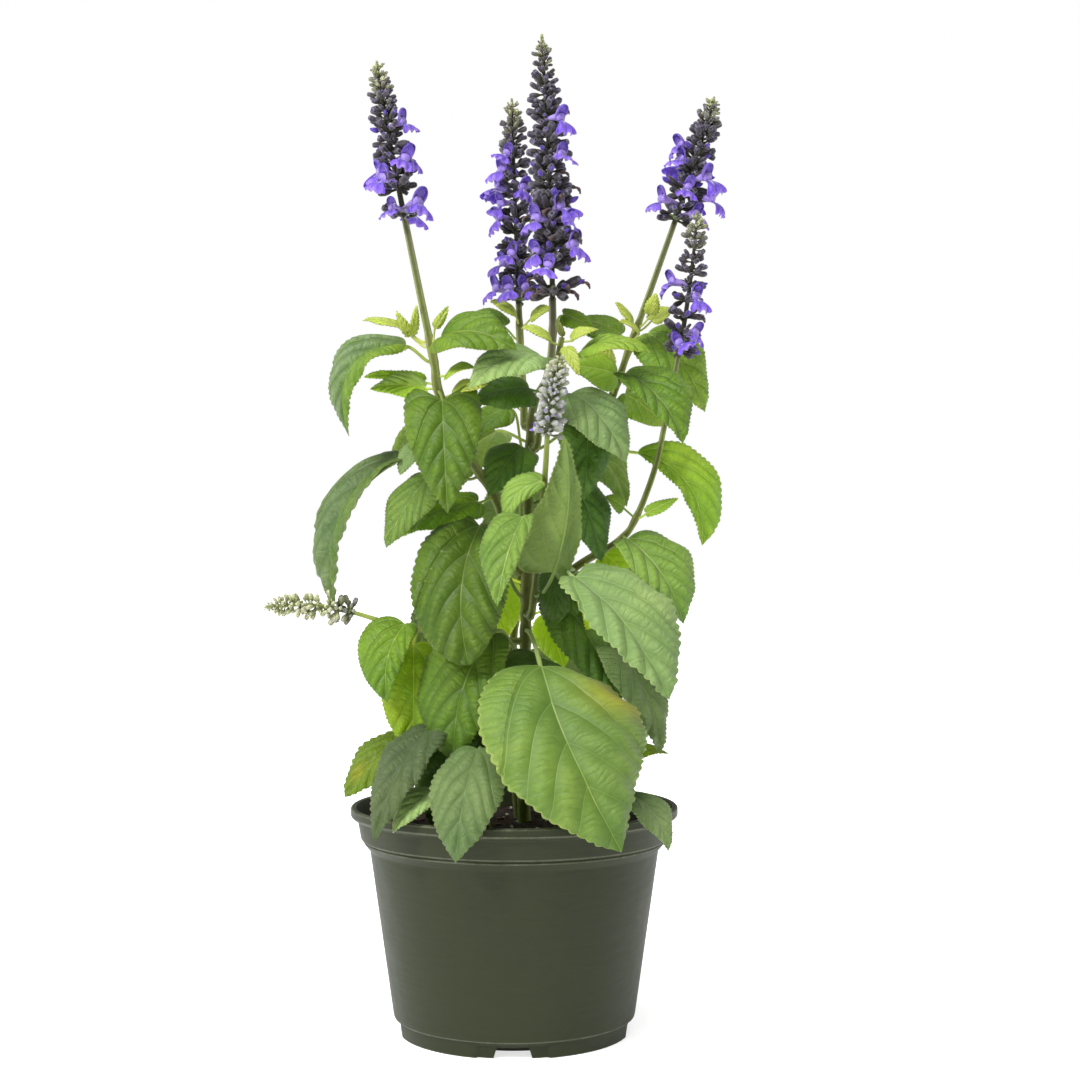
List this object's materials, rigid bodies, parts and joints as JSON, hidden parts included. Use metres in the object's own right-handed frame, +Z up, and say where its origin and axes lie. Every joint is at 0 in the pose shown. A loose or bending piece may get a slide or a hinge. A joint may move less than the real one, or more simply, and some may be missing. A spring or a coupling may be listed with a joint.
{
  "type": "potted salvia",
  "caption": "Salvia plant with violet flower spikes and toothed green leaves, growing in soil in a round tapered nursery pot.",
  "frame": {"origin": "centre of the pot's flat base, on the surface that the pot stands on", "axes": "+Z up along the pot's axis, -Y towards the side that the picture shows, +X to that side's right"},
  "size_m": [0.2543, 0.2295, 0.5501],
  "materials": {
    "pot": "satin moulded plastic, dark olive green, fine moulding grain",
    "soil": "loose potting mix of peat and bark, near black, with white perlite grains",
    "stem": "soft square green stem with paler ridges, browner near the soil",
    "leaf": "dull quilted green leaf with pale veins and toothed margin",
    "calyx": "felted dark grey-violet calyx, cream-green at the tip of the spike",
    "petal": "soft violet-blue petal with a paler throat"
  },
  "bodies": {
    "root": {"leaf_back_a": "leaf", "leaf_back_b": "leaf", "leaf_back_c": "leaf", "leaf_back_d": "leaf", "leaf_back_e": "leaf", "leaf_back_f": "leaf", "leaf_back_left_a": "leaf", "leaf_front_a": "leaf", "leaf_front_b": "leaf", "leaf_left_a": "leaf", "leaf_left_b": "leaf", "leaf_left_c": "leaf", "leaf_left_d": "leaf", "leaf_left_e": "leaf", "leaf_left_f": "leaf", "leaf_left_g": "leaf", "leaf_low_left_a": "leaf", "leaf_low_left_b": "leaf", "leaf_low_left_c": "leaf", "leaf_low_right_a": "leaf", "leaf_main_a": "leaf", "leaf_main_b": "leaf", "leaf_main_c": "leaf", "leaf_main_d": "leaf", "leaf_main_e": "leaf", "leaf_main_g": "leaf", "leaf_main_h": "leaf", "leaf_main_i": "leaf", "leaf_right_a": "leaf", "leaf_right_b": "leaf", "leaf_right_c": "leaf", "leaf_right_d": "leaf", "leaf_right_low_a": "leaf", "leaf_right_low_b": "leaf", "leaf_side_a": "leaf", "leaf_side_b": "leaf", "leaf_top_a": "leaf", "leaf_top_b": "leaf", "leaf_top_c": "leaf", "leaf_top_d": "leaf", "pot": "pot", "soil": "soil", "spike_back_left": "calyx", "spike_centre": "calyx", "spike_front": "calyx", "spike_left": "calyx", "spike_right": "calyx", "spike_right_low": "calyx", "spike_side": "calyx", "stem_back": "stem", "stem_back_left": "stem", "stem_front": "stem", "stem_left": "stem", "stem_low_left": "stem", "stem_low_right": "stem", "stem_main": "stem", "stem_right": "stem", "stem_right_low": "stem", "stem_side": "stem", "stem_top": "stem"}
  },
  "joints": []
}
